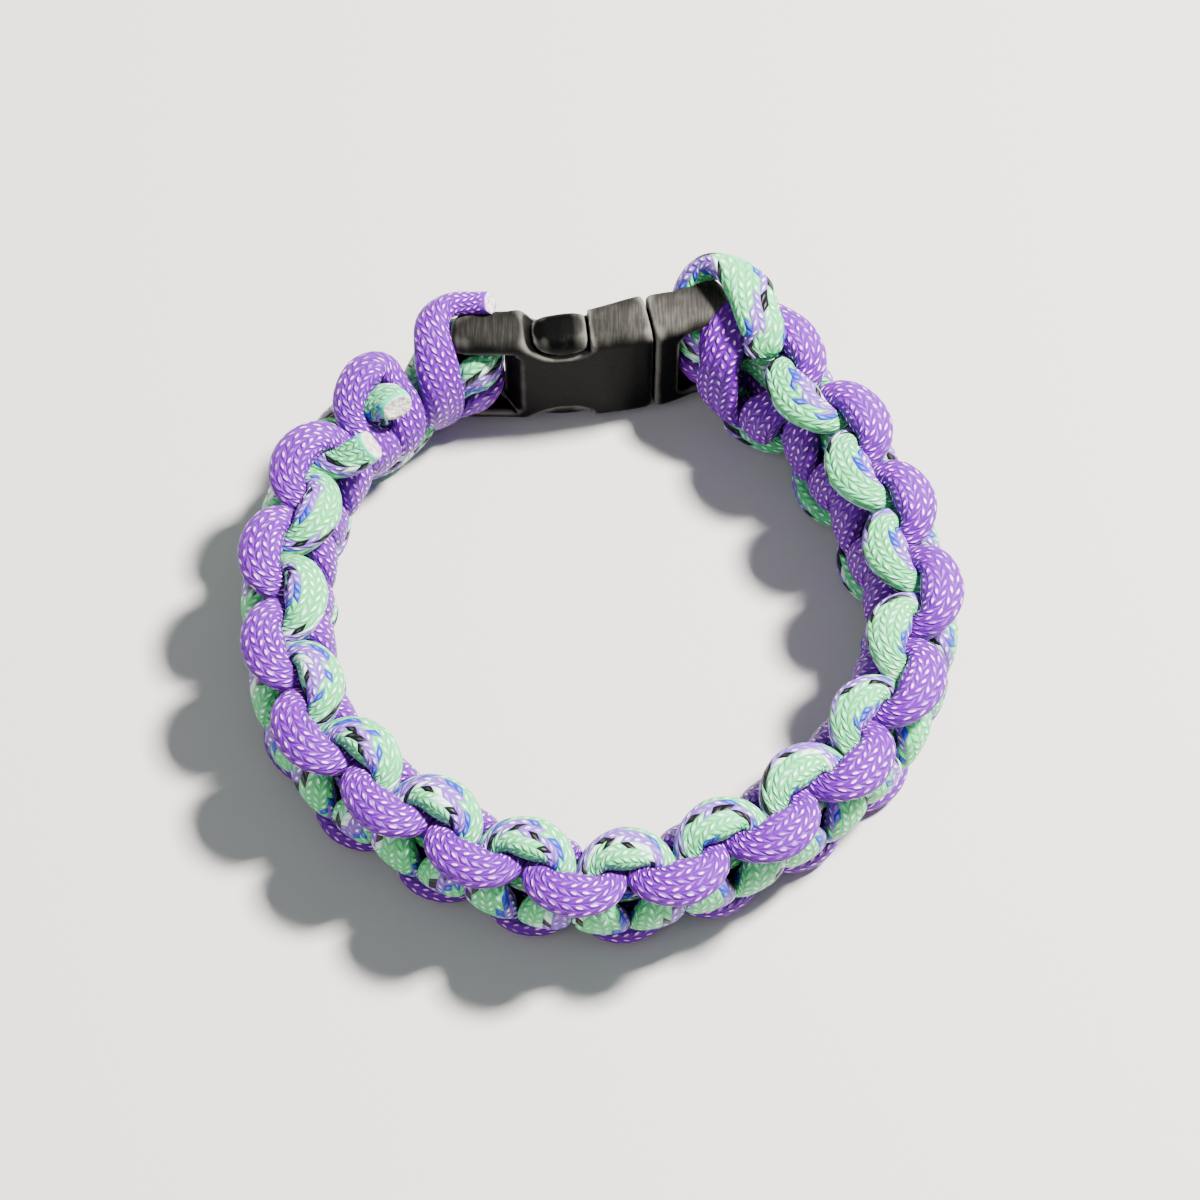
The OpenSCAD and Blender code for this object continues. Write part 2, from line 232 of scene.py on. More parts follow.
def braidMaterial(name, look, length):
    material, wire, shader = newMaterial(name)
    uv = wire.node("ShaderNodeUVMap", uv_map="braid")
    around = wire.node("ShaderNodeSeparateXYZ", {0: uv}, out=0)
    along = wire.node("ShaderNodeSeparateXYZ", {0: uv}, out=1)
    column = around.floor()
    climb = (column % 2.0 * 2.0 - 1.0) * braidLook["climb"]  # leaning left and right by turns
    across = along / braidLook["stitch"] + around * climb
    stitch = across.floor()
    inStitch, inColumn = across % 1.0, around % 1.0

    # the stitch as a hump that dives under its neighbours
    full, fat = braidLook["roundness"]
    height = (inStitch * math.pi).sine() ** full * (inColumn * math.pi).sine() ** fat

    # its yarn, from the place of its own middle, so that a stitch has one colour
    middle = (stitch + 0.5 - (column + 0.5) * climb) * braidLook["stitch"]
    turns = (column + 0.5) / braidLook["columns"] + middle * braidLook["drift"]
    share = (turns + braidLook["phase"]) % 1.0
    run = braidLook["yarnRun"]
    pair = (stitch % (2 * run) / run).floor()
    first, second = (wire.node("ShaderNodeValToRGB", {0: share}, stops=yarnStops(yarns))
                     for yarns in look["yarns"])
    colour = pair.mixed(first, second)
    firstShine, secondShine = (Wire(wire.tree, yarn.socket.node.outputs["Alpha"])
                               for yarn in (first, second))
    shine = firstShine + pair * (secondShine - firstShine)

    # a painted glint on its crest, stronger in some parts of the cord
    cell = wire.node("ShaderNodeCombineXYZ", {0: stitch, 1: column * braidLook["columnSeed"]})
    chance = wire.node("ShaderNodeTexWhiteNoise", {"Vector": cell}, noise_dimensions="2D")
    patch = wire.node(
        "ShaderNodeTexNoise", {"Vector": uv, "Scale": braidLook["patches"], "Detail": 1.0})
    lit = (chance * braidLook["luck"] + patch).step(*braidLook["caught"])
    size, least = braidLook["glint"], braidLook["leastGlint"]
    spot = (inStitch * size - size / 2) ** 2.0 + (inColumn * size - size / 2) ** 2.0
    glint = (1.0 - spot.step(*braidLook["glintEdge"])) * (least + (1 - least) * lit) * shine

    # painted shade: the gaps between stitches are darkened
    shaded = wire.node(
        "ShaderNodeMix", {0: 1.0, 6: colour, 7: braidLook["creaseShade"]}, out=2,
        data_type="RGBA", blend_type="MULTIPLY")
    base = height.step(0.0, braidLook["valley"]).mixed(shaded, colour)
    # the painted highlight laid over the yarn colour
    bright = glint.mixed(base, look["paintedGlint"])
    start, end = braidLook["melt"]
    braided = along.step(start, end) * (1.0 - along.step(length - end, length - start))
    join(braided.mixed(look["melted"], bright), shader, "Base Color")
    rough = braided * (braidLook["braidRough"] - glint * braidLook["glintRough"])
    join(rough + braidLook["rough"], shader, "Roughness")
    bump = wire.node("ShaderNodeBump", {
        "Height": height * braided, "Distance": braidLook["relief"], "Strength": 1.0})
    join(bump, shader, "Normal")
    shader.inputs["Specular IOR Level"].default_value = braidLook["gloss"]
    return material


def meltedMaterial(name, dull, pale):
    material, wire, shader = newMaterial(name)
    place = wire.node("ShaderNodeTexCoord", out=3)
    grain = wire.node(
        "ShaderNodeTexNoise", {"Vector": place, "Scale": meltLook["scale"], "Detail": 3.0})
    join(grain.step(*meltLook["pale"]).mixed(dull, pale), shader, "Base Color")
    bump = wire.node("ShaderNodeBump", {"Height": grain, "Distance": meltLook["relief"]})
    join(bump, shader, "Normal")
    shader.inputs["Roughness"].default_value = meltLook["rough"]
    return material


purpleMelt = meltedMaterial("purpleMelt", *purpleLook["end"])
mintMelt = meltedMaterial("mintMelt", *mintLook["end"])


# the cord as it lies in the weave, in shares of its diameter, and how the band is laid out
cordLook = {
    "diameter": 4.0,  # mm
    "wide": 1.05, "thick": 0.65,
    "loopThick": 0.92,  # round a bar, as a share of the thickness in the weave
    "core": 0.71, "coreAcross": 0.42,
    "bandHalfWide": 2.02, "bandHalfThick": 1.15,
    "leastPitch": 1.25,  # between two crossings
    "leadIn": 0.70, "leadOut": 1.42,  # least pitches before the first crossing and after the last
    "barLead": 2.3,  # the band leaves a bar straight over this length
    "barClear": 0.15,  # mm between a bar and the cord round it
    "loopAcross": 0.31, "loopShift": 0.02,  # place on a bar, and its shift in half a turn
    "loopWide": 0.93,
    "loopSteps": 5, "coreSteps": 30,
    "coreStart": 1.6,  # pitches from either bar
}
cordD = cordLook["diameter"]
cordW, cordT = cordLook["wide"] * cordD, cordLook["thick"] * cordD
halfW, halfT = cordLook["bandHalfWide"] * cordD, cordLook["bandHalfThick"] * cordD


# the band's middle line, in mm; a swell is by how much, where along the band, over how far
band = {
    "halfX": 31.8, "halfY": 30.4,
    "buckleX": -1.0, "buckleY": 31.0, "buckleTilt": 8.0, "buckleBend": 80.0, "buckleL": 29.354,
    "barL": 2.7, "barT": 2.7,
    "place": (0.0794934, -2.29403, 8.28414),
    # the near side leans in and the left end leans out, about this height
    "leans": [(0.19, 87.0, 29.0), (-0.25, 15.5, 9.0)],
    "leanHeight": 8.0,
    "bulges": [(1.35, 12.0, 4.0), (0.8, 21.0, 3.5)],  # the first purple arches stand out
    "slides": [(2.2, 8.2, 3.1), (1.1, 162.0, 5.0)],  # knots near both ends crowd along
    "backs": [(3.8, 11.0, 2.6)],  # the first arch stays nearer the buckle than its feet
    "tucks": [(1.2, 11.8, 2.8), (-2.0, 166.9, 1.8)],  # low mint, in at the left, out at the right
    "crowns": [(0.38, 161.5, 2.5)],  # the last purple crossing stands proud of the inner face
    "pinches": [(0.25, 9.8, 2.5)],  # the purple cord is nipped narrow beside its first crossing
    "route": [
        (-0.70, 0.73), (-0.95, 0.36), (-1.00, 0.00), (-0.90, -0.42), (-0.65, -0.70),
        (-0.34, -0.91), (0.00, -1.00), (0.34, -0.91), (0.66, -0.68), (0.90, -0.37),
        (1.00, 0.00), (0.94, 0.30), (0.81, 0.61), (0.62, 0.89)],
    "routeSteps": 16,  # between two points of the route
}


def onBuckle(along, out):  # the buckle is bent round a point far behind it
    a = (along - band["buckleL"] / 2) / band["buckleBend"]
    r = band["buckleBend"] - out
    x, y = r * math.sin(a), band["buckleBend"] - r * math.cos(a)
    t = math.radians(band["buckleTilt"])
    return (band["buckleX"] + x * math.cos(t) - y * math.sin(t),
            band["buckleY"] + x * math.sin(t) + y * math.cos(t))


lead = cordLook["barLead"] * cordD
bar = band["barL"] / 2
ringPoints = np.array(
    [onBuckle(bar + lead, 0), onBuckle(bar, 0)]
    + [(x * band["halfX"], y * band["halfY"]) for x, y in band["route"]]
    + [onBuckle(band["buckleL"] - bar, 0), onBuckle(band["buckleL"] - bar - lead, 0)])


def ringAt(v):  # place and direction on a smooth curve through the ring's points
    i = np.clip(np.floor(v).astype(int), 1, len(ringPoints) - 3)
    f = (v - i)[:, None]
    a, b, c, d = (ringPoints[i + k] for k in (-1, 0, 1, 2))
    square, cube = 2 * a - 5 * b + 4 * c - d, 3 * b - 3 * c + d - a
    at = (2 * b + (c - a) * f + square * f ** 2 + cube * f ** 3) / 2
    go = (c - a) + 2 * square * f + 3 * cube * f ** 2
    return at, go / np.linalg.norm(go, axis=1)[:, None]


def runOf(points):  # distance along a line of points
    return np.concatenate([[0], np.cumsum(np.linalg.norm(np.diff(points, axis=0), axis=1))])


ringSteps = (len(ringPoints) - 3) * band["routeSteps"]
ringStops = 1 + np.arange(ringSteps + 1) / band["routeSteps"]
ringRuns = runOf(ringAt(ringStops)[0])
bandL = ringRuns[-1]


def swell(s, parts):
    return sum(by * np.exp(-((s - middle) / reach) ** 2) for by, middle, reach in parts)


def bendOnRing(flat):  # flat-band points (along, across, out) onto the loop, in metres
    s = np.clip(flat[:, 0], 0, bandL)
    at, go = ringAt(np.interp(s, ringRuns, ringStops))
    out = flat[:, 2] + swell(s, band["leans"]) * (flat[:, 1] - band["leanHeight"])
    outward = np.stack([go[:, 1], -go[:, 0]], axis=1)
    p = at + go * (flat[:, 0] - s)[:, None] + outward * out[:, None]
    return (np.stack([p[:, 0], p[:, 1], flat[:, 1]], axis=1) + band["place"]) * mm


# the routes of both cords through the weave: rows of along, across, out, width and thickness,
# in pitches, half widths and half thicknesses of the band, and shares of the cord
leastPitch = cordLook["leastPitch"] * cordD
leadIn, leadOut = cordLook["leadIn"] * leastPitch, cordLook["leadOut"] * leastPitch
knots = 2 * int((bandL - leadIn - leadOut) / (2 * leastPitch))
pitch = (bandL - leadIn - leadOut) / knots
loopSteps, coreSteps = cordLook["loopSteps"], cordLook["coreSteps"]
loopW, loopT = cordLook["loopWide"] * cordW, cordLook["loopThick"] * cordT
loopR = band["barT"] / 2 + cordLook["barClear"] + loopT / 2
loopR /= math.cos(math.pi / 2 / loopSteps)

quarter = [  # from the middle of a crossing round the edge of the band
    (0.00, 0.00, 0.72, 1.00, 1.00), (-0.10, 0.28, 0.67, 0.90, 0.85),
    (-0.22, 0.48, 0.37, 0.62, 0.77), (-0.25, 0.64, -0.07, 0.39, 0.87),
    (-0.02, 0.80, -0.42, 0.62, 0.88), (0.50, 0.84, -0.53, 0.93, 1.00)]
coreFromBar = [  # from either bar into the core
    (0.40, 0.26, 0.51, 0.78, 0.94), (0.75, 0.22, 0.22, 0.71, 1.03),
    (1.11, 0.21, 0.04, 0.68, 1.08)]
mintOverEdge = [  # the big arch from the weave over the upper edge to the right bar
    (1.50, 0.86, -0.34, 0.66, 0.88), (1.39, 1.00, -0.10, 0.82, 0.88),
    (1.08, 1.10, 0.00, 0.92, 0.88), (0.77, 1.15, 0.20, 0.96, 0.88),
    (0.50, 1.17, 0.42, 1.00, 0.88), (0.22, 1.14, 0.64, 1.02, 0.88),
    (-0.06, 1.04, 0.80, 1.06, 0.88), (-0.34, 0.90, 0.82, 1.04, 0.90),
    (-0.58, 0.74, 0.62, 0.98, 0.92), (-0.66, 0.54, 0.34, 0.95, 0.92)]
mintTail = [  # from the left bar to the first crossing
    (0.32, 0.22, -0.55, 0.82, 0.77), (0.64, 0.00, -0.45, 0.76, 0.70),
    (1.00, -0.25, -0.42, 0.71, 0.66), (1.40, -0.49, -0.42, 0.69, 0.66),
    (1.82, -0.71, -0.48, 0.74, 0.75), (2.10, -0.83, -0.55, 0.81, 0.88)]
purpleFirst = [  # the big loop at the right bar
    (1.40, 0.82, 0.56, 0.76, 0.90), (1.08, 0.76, 0.52, 0.70, 0.88),
    (0.76, 0.76, 0.32, 0.90, 0.88), (0.50, 0.82, -0.08, 1.20, 0.88),
    (0.50, 0.77, -0.46, 1.42, 0.88), (0.56, 0.64, -0.80, 1.60, 0.88),
    (0.69, 0.45, -1.04, 1.66, 0.88), (0.88, 0.15, -1.16, 1.62, 0.88),
    (1.12, -0.15, -1.14, 1.46, 0.86), (1.38, -0.37, -0.94, 1.12, 0.85),
    (1.56, -0.50, -0.56, 0.78, 0.80), (1.64, -0.61, -0.10, 0.50, 0.79),
    (1.50, -0.79, 0.37, 0.62, 0.88), (1.07, -0.81, 0.61, 0.86, 0.92),
    (0.63, -0.67, 0.78, 0.93, 0.92), (0.30, -0.48, 0.74, 0.93, 0.92)]
purpleLast = [  # from the cut end over the left shackle to the first crossing
    (-0.80, 1.04, 0.26, 0.18, 0.76), (-0.64, 0.97, 0.40, 0.22, 0.80),
    (-0.43, 0.945, 0.54, 0.28, 0.84), (-0.18, 0.955, 0.66, 0.34, 0.88),
    (0.06, 0.965, 0.70, 0.42, 0.90), (0.25, 0.98, 0.62, 0.50, 0.90),
    (0.45, 0.98, 0.42, 0.60, 0.90), (0.61, 0.93, 0.15, 0.74, 0.90),
    (0.79, 0.77, -0.19, 0.92, 0.88), (0.93, 0.52, -0.50, 1.02, 0.88),
    (1.00, 0.25, -0.66, 1.06, 0.88), (1.02, 0.00, -0.68, 1.06, 0.88),
    (0.98, -0.25, -0.60, 1.00, 0.88), (0.92, -0.48, -0.44, 0.92, 0.88),
    (0.86, -0.68, -0.24, 0.82, 0.88), (0.90, -0.90, 0.00, 0.75, 0.88)]
purpleTail = [  # the hidden end past the left bar
    (0.33, -0.48, -0.50, 0.66, 0.79), (0.50, -0.59, -0.28, 0.60, 0.75),
    (0.71, -0.57, 0.04, 0.57, 0.75)]
# the two cut ends of the mint cord beside the first purple arch
mintFinish = [(2.56, 1.02, -0.66, 0.50, 0.86), (2.70, 0.92, -0.56, 0.66, 0.92)]
mintStub = [
    (1.345, 0.655, 0.13, 0.80, 0.92), (1.08, 0.83, -0.135, 0.76, 0.96),
    (1.23, 0.96, -0.49, 0.48, 0.92)]


def section(at, row, side, face):
    return (at, side * row[1] * halfW, face * row[2] * halfT, row[3] * cordW, row[4] * cordT)


def knotAt(k):
    at = leadIn + k * pitch
    return at + swell(at, band["slides"])


def sideOf(k, face):
    return face if k % 2 == 0 else -face


def leave(k, face, rows=quarter):
    return [section(knotAt(k + r[0]), r, sideOf(k, face), face) for r in rows]


def arrive(k, face):
    return [section(knotAt(k + 1 - r[0]), r, sideOf(k, face), face) for r in reversed(quarter)]


def weave(first, last, face):
    rows = []
    for k in range(first, last):
        rows += leave(k, face)[:-1] + arrive(k, face)[:-1]
    return rows


def byLeftBar(rows, side=1):
    return [section(r[0] * pitch, r, side, 1) for r in rows]


def byRightBar(rows, side=1, face=1):
    return [section(bandL - r[0] * pitch, r, side, face) for r in rows]


def barLoop(side, left, first=0):  # half a turn round a bar
    rows = []
    for i in range(first, loopSteps + 1):
        a = math.radians(90 + 180 * i / loopSteps)
        along = math.cos(a) * loopR
        across = cordLook["loopAcross"] + cordLook["loopShift"] * i / loopSteps
        rows.append((along if left else bandL - along, side * across * halfW,
                     math.sin(a) * loopR, loopW, loopT))
    return rows


def core(side):  # straight back through the middle of the band
    start = cordLook["coreStart"] * pitch
    run = bandL - 2 * start
    across, thick = side * (cordLook["coreAcross"] * cordD), cordLook["core"] * cordD
    return [(bandL - start - run * i / coreSteps, across, 0, thick, thick)
            for i in range(coreSteps + 1)]


def coreBetweenBars(side, first=0):
    return (barLoop(side, False, first) + byRightBar(coreFromBar, side, -1) + core(side)
            + byLeftBar(coreFromBar, side)[::-1] + barLoop(side, True))


def settledMint(s, w, n, wide, thick):
    return s, w, n + swell(s, band["tucks"]) * max(0, -w / halfW), wide, thick


def settledPurple(s, w, n, wide, thick):
    high = max(0, w / halfW)
    return (s - swell(s, band["backs"]) * high ** 2, w,
            n + swell(s, band["bulges"]) * high + swell(s, band["crowns"]) * min(0, n),
            wide * (1 - swell(s, band["pinches"])), thick)


mintRows = (
    [section(knotAt(r[0]), r, 1, 1) for r in mintFinish] + arrive(2, 1)[1:-1] + weave(3, knots, 1)
    + leave(knots, 1, quarter[:4]) + byRightBar(mintOverEdge) + coreBetweenBars(1, 2)
    + byLeftBar(mintTail) + arrive(1, 1)
    + [section(knotAt(2 + r[0]), r, sideOf(2, 1), 1) for r in quarter[1:3]]
    + [section(knotAt(r[0]), r, 1, 1) for r in mintStub])
purpleRows = (
    byLeftBar(purpleLast) + arrive(0, -1)[:-1] + weave(1, knots - 1, -1) + leave(knots - 1, -1)
    + byRightBar(purpleFirst) + coreBetweenBars(-1) + byLeftBar(purpleTail))
mintRoute = [settledMint(*row) for row in mintRows]
purpleRoute = [settledPurple(*row) for row in purpleRows]
print("routes laid:", len(mintRoute), "and", len(purpleRoute), "sections")


# each cord as a plump, pressed tube
strandLook = {
    "step": 0.5,  # mm between rings
    "around": 32,
    "curveSteps": 12,  # between two sections of the route
    "widen": (0.35, 0.82),  # width in the weave: a fixed share and a share of the table's
    "thicken": (0.10, 1.04),
    "square": 2.5,  # 2 is an ellipse
    "uneven": 0.05,  # how much thicker and thinner it gets along its length
    "waves": [(0.37, 1.0, 0.6), (0.91, 4.0, 0.4)],  # how often, from where, how much
    "routeBlur": 1.2,  # in rings
    "turnBlur": 1.6,
    "pressBlur": 1.0,
    "nearBar": (0.8, 0.25),  # so many pitches from a bar, a section faces out less across
    "reach": 0.6,  # mm past the widest cord's width in which a neighbour presses
    "ownReach": 3.4,  # mm of its own cord that a ring takes no notice of
    "hardReach": 6,  # mm, for the buckle
    "touching": 0.999,  # a spoke shortened below this share touches something
    "touchGap": 0.02,  # share of the half thickness left between pressed strands
    "leastShare": 0.12,  # a cord isn't pressed thinner than this
    "cutEnd": [(0.0004, 0.0001), (0.0005, 0.0001)],  # insets and rises of the domed cut, m
    "seam": 1e-7,
}
# the buckle's bars and rails as rows of round lumps that the cords can't enter, in mm
lumpLook = {
    "barAcross": np.arange(-6.2, 6.3, 0.6),
    "barSize": (1.40, 0.9, 1.40),
    "railAlong": np.arange(0.5, 7.0, 0.7),
    "railAcross": 6.75,
    "railSize": (1.1, 1.0, 2.25),
}


def blurred(values, sigma):
    reach = max(1, int(3 * sigma))
    weight = np.exp(-0.5 * (np.arange(-reach, reach + 1) / sigma) ** 2)
    weight /= weight.sum()
    head, tail = np.repeat(values[:1], reach, axis=0), np.repeat(values[-1:], reach, axis=0)
    padded = np.concatenate([head, values, tail])
    return sum(w * padded[i:i + len(values)] for i, w in enumerate(weight))


def awayFromBand(q, look):
    past = np.minimum(q[:, 0], 0) + np.maximum(q[:, 0] - bandL, 0)
    reach, least = look["nearBar"]
    near = np.minimum(q[:, 0], bandL - q[:, 0]) / (reach * pitch)
    return np.stack([past, q[:, 1] * np.clip(near, least, 1), q[:, 2]], axis=1)


def unit(v):
    return v / np.linalg.norm(v, axis=1)[:, None]


def squareTo(go, out):  # out, turned until it stands square to go
    return unit(out - (out * go).sum(1)[:, None] * go)


def smoothRoute(rows, steps):  # centripetal spline through the sections
    rows = np.array(rows, float)
    gap = np.linalg.norm(np.diff(rows[:, :3], axis=0), axis=1)
    knot = np.concatenate([[0], np.cumsum(np.sqrt(gap))])
    ends = np.vstack([2 * rows[0] - rows[1], rows, 2 * rows[-1] - rows[-2]])
    knotEnds = np.concatenate([[2 * knot[0] - knot[1]], knot, [2 * knot[-1] - knot[-2]]])
    fine = []
    for i in range(1, len(ends) - 2):
        p0, p1, p2, p3 = ends[i - 1:i + 3]
        t0, t1, t2, t3 = knotEnds[i - 1:i + 3]
        t = np.linspace(t1, t2, steps + 1)[:-1, None]
        a1 = (t1 - t) / (t1 - t0) * p0 + (t - t0) / (t1 - t0) * p1
        a2 = (t2 - t) / (t2 - t1) * p1 + (t - t1) / (t2 - t1) * p2
        a3 = (t3 - t) / (t3 - t2) * p2 + (t - t2) / (t3 - t2) * p3
        b1 = (t2 - t) / (t2 - t0) * a1 + (t - t0) / (t2 - t0) * a2
        b2 = (t3 - t) / (t3 - t1) * a2 + (t - t1) / (t3 - t1) * a3
        fine.append((t2 - t) / (t2 - t1) * b1 + (t - t1) / (t2 - t1) * b2)
    return np.vstack(fine + [rows[-1:]])


def denseStrand(rows, look):
    fine = smoothRoute(rows, look["curveSteps"])
    run = runOf(fine[:, :3])
    count = int(run[-1] / look["step"])
    at = np.linspace(0, run[-1], count + 1)
    even = np.stack([np.interp(at, run, fine[:, c]) for c in range(5)], axis=1)
    even = blurred(even, look["routeBlur"])
    go = unit(np.gradient(even[:, :3], axis=0))
    out = squareTo(go, unit(awayFromBand(even, look)))
    out = squareTo(go, blurred(out, look["turnBlur"]))
    side = np.cross(go, out)
    waves = sum(np.sin(at * often + start) * much for often, start, much in look["waves"])
    wobble = 1 + look["uneven"] * waves
    fixedW, shareW = look["widen"]
    fixedT, shareT = look["thicken"]
    halfWide = (fixedW * cordW + shareW * even[:, 3]) / 2 * wobble
    halfThick = (fixedT * cordT + shareT * even[:, 4]) / 2 * (2 - wobble)
    twist = np.zeros(len(at))  # how far the sections turn against a straight-laid braid
    for i in range(1, len(at)):
        carried = out[i - 1] - (out[i - 1] @ go[i]) * go[i]
        twist[i] = twist[i - 1] + math.atan2(carried @ side[i], carried @ out[i])
    return {"at": at, "centre": even[:, :3], "go": go, "out": out, "side": side,
            "a": halfWide, "b": halfThick, "twist": twist}


def blocksOfBuckle(look):  # rows of centre and half sizes, in flat-band terms
    lumps = []
    for end, stop in ((0.0, ringStops[0]), (bandL, ringStops[-1])):
        at, go = (values[0] for values in ringAt(np.array([stop])))
        for w in look["barAcross"]:
            lumps.append((end, w, 0.0, *look["barSize"]))
        for d in look["railAlong"]:
            along = d if end == 0 else band["buckleL"] - d
            p = np.array(onBuckle(along, 0)) - at
            s, n = p @ go, p @ np.array([go[1], -go[0]])
            for w in (look["railAcross"], -look["railAcross"]):
                lumps.append((end + s, w, n, *look["railSize"]))
    return np.array(lumps)


def sectionOutline(look):
    turn = np.arange(look["around"]) * 2 * math.pi / look["around"]
    power = 2 / look["square"]
    return (np.sign(np.cos(turn)) * np.abs(np.cos(turn)) ** power,
            np.sign(np.sin(turn)) * np.abs(np.sin(turn)) ** power)


def meeting(maps, offsets, spokes):
    # each map makes a neighbour a unit ball: the squares of offset and spoke, and their product
    c = np.einsum("kij,kj->ki", maps, offsets)
    d = np.einsum("kij,vj->kvi", maps, spokes)
    return (c ** 2).sum(1)[:, None], np.einsum("ki,kvi->kv", c, d), (d ** 2).sum(2)


def softShare(maps, offsets, spokes):  # two cords meet where both are pressed alike
    cc, cd, dd = meeting(maps, offsets, spokes)
    root = np.sqrt(np.maximum(cd ** 2 - (dd - 1) * cc, 0))
    inside = cc + 2 * cd + dd < 1
    return np.where(inside, cc / np.maximum(root - cd, 1e-6), 1).min(axis=0)


def hardShare(maps, offsets, spokes):  # the buckle doesn't give
    cc, cd, dd = meeting(maps, offsets, spokes)
    root = np.sqrt(np.maximum(cd ** 2 - dd * (cc - 1), 0))
    inside = (cc + 2 * cd + dd < 1) & (cc > 1)
    return np.where(inside, (-cd - root) / dd, 1).min(axis=0)


def pressStrands(strands, look):
    around = look["around"]
    wide, tall = sectionOutline(look)
    centre = np.vstack([s["centre"] for s in strands])
    axes = np.stack([np.vstack([s[k] for s in strands]) for k in ("side", "out", "go")], axis=1)
    a = np.concatenate([s["a"] for s in strands])
    b = np.concatenate([s["b"] for s in strands])
    own = np.concatenate([np.full(len(s["at"]), i) for i, s in enumerate(strands)])
    at = np.concatenate([s["at"] for s in strands])
    maps = axes / np.stack([a, b, b], axis=1)[:, :, None]
    lumps = blocksOfBuckle(lumpLook)
    lumpMaps = np.stack([np.diag(1 / lump[3:]) for lump in lumps])
    reach = 2 * a.max() + look["reach"]
    pressed = []
    for index, s in enumerate(strands):
        spokes = np.zeros((len(s["at"]), around, 3))
        share = np.ones((len(s["at"]), around))
        for i, q in enumerate(s["centre"]):
            spokes[i] = (s["side"][i] * (wide * s["a"][i])[:, None]
                         + s["out"][i] * (tall * s["b"][i])[:, None])
            near = np.abs(centre - q).max(axis=1) < reach
            near &= (own != index) | (np.abs(at - s["at"][i]) > look["ownReach"])
            if near.any():
                offsets = q - centre[near]
                share[i] = np.minimum(share[i], softShare(maps[near], offsets, spokes[i]))
            hard = np.abs(lumps[:, :3] - q).max(axis=1) < look["hardReach"]
            if hard.any():
                offsets = q - lumps[hard, :3]
                share[i] = np.minimum(share[i], hardShare(lumpMaps[hard], offsets, spokes[i]))
        share = np.clip(share, look["leastShare"], 1)
        soft = blurred(share, look["pressBlur"])
        soft = (np.roll(soft, 1, axis=1) + 2 * soft + np.roll(soft, -1, axis=1)) / 4
        touching = share < look["touching"]
        share = np.minimum(share, soft) * (1 - look["touchGap"] * touching)
        pressed.append(s["centre"][:, None, :] + spokes * share[:, :, None])
    return pressed


def strandMesh(name, strand, rings, look, materials):
    around, count = look["around"], len(rings) - 1
    bm = bmesh.new()
    bmesh.ops.create_grid(bm, x_segments=around, y_segments=count, size=0.5)
    mesh = meshFrom(bm, bpy.data.meshes.new(name))

    # roll the grid up: j counts round the cord, i along it
    grid = pointsOf(mesh)
    j = np.rint((grid[:, 0] + 0.5) * around).astype(int)
    i = np.rint((grid[:, 1] + 0.5) * count).astype(int)
    where = bendOnRing(rings[i, j % around])
    where[:, 2] = np.maximum(where[:, 2], 0)  # pressed flat where the cord rests on the table
    mesh.vertices.foreach_set("co", where.ravel())

    # the braid runs evenly round each section, and doesn't turn with it
    wide, tall = sectionOutline(look)
    outline = np.stack([strand["a"][:, None] * wide, strand["b"][:, None] * tall], axis=2)
    edge = np.linalg.norm(np.roll(outline, -1, axis=1) - outline, axis=2)
    share = np.pad(np.cumsum(edge, axis=1), ((0, 0), (1, 0))) / edge.sum(axis=1)[:, None]
    columns = braidLook["columns"] * (share[i, j] - strand["twist"][i] / (2 * math.pi))
    corner = np.zeros(len(mesh.loops), int)
    mesh.loops.foreach_get("vertex_index", corner)
    uv = np.stack([columns, strand["at"][i]], axis=1)[corner]
    mesh.uv_layers.new(name="braid").data.foreach_set("uv", uv.ravel())

    bm = bmesh.new()
    bm.from_mesh(mesh)
    seam = [v for v, column in zip(bm.verts, j) if column in (0, around)]
    bmesh.ops.remove_doubles(bm, verts=seam, dist=look["seam"])
    rims = [e for e in bm.edges if e.is_boundary]
    for cap in bmesh.ops.edgeloop_fill(bm, edges=rims, mat_nr=1)["faces"]:
        for inset, rise in look["cutEnd"]:
            ring = bmesh.ops.inset_region(
                bm, faces=[cap], thickness=inset, depth=rise, use_even_offset=True)["faces"]
            for face in ring:
                face.material_index = 1
    bmesh.ops.recalc_face_normals(bm, faces=bm.faces)
    smoothAll(bm)
    meshFrom(bm, mesh)
    for material in materials:
        mesh.materials.append(material)
    return newPiece(name, mesh)


strands = [denseStrand(purpleRoute, strandLook), denseStrand(mintRoute, strandLook)]
purpleBraid = braidMaterial("purpleBraid", purpleLook, strands[0]["at"][-1])
mintBraid = braidMaterial("mintBraid", mintLook, strands[1]["at"][-1])
pressed = pressStrands(strands, strandLook)
purpleStrand = strandMesh(
    "purpleStrand", strands[0], pressed[0], strandLook, [purpleBraid, purpleMelt])
mintStrand = strandMesh(
    "mintStrand", strands[1], pressed[1], strandLook, [mintBraid, mintMelt])
for piece, node in ((purpleStrand, "purple_cord"), (mintStrand, "mint_cord")):
    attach(piece, "root")
    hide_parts(node)
strandFaces = [len(piece.data.polygons) for piece in (purpleStrand, mintStrand)]
print("cords pressed together:", strandFaces, "faces")
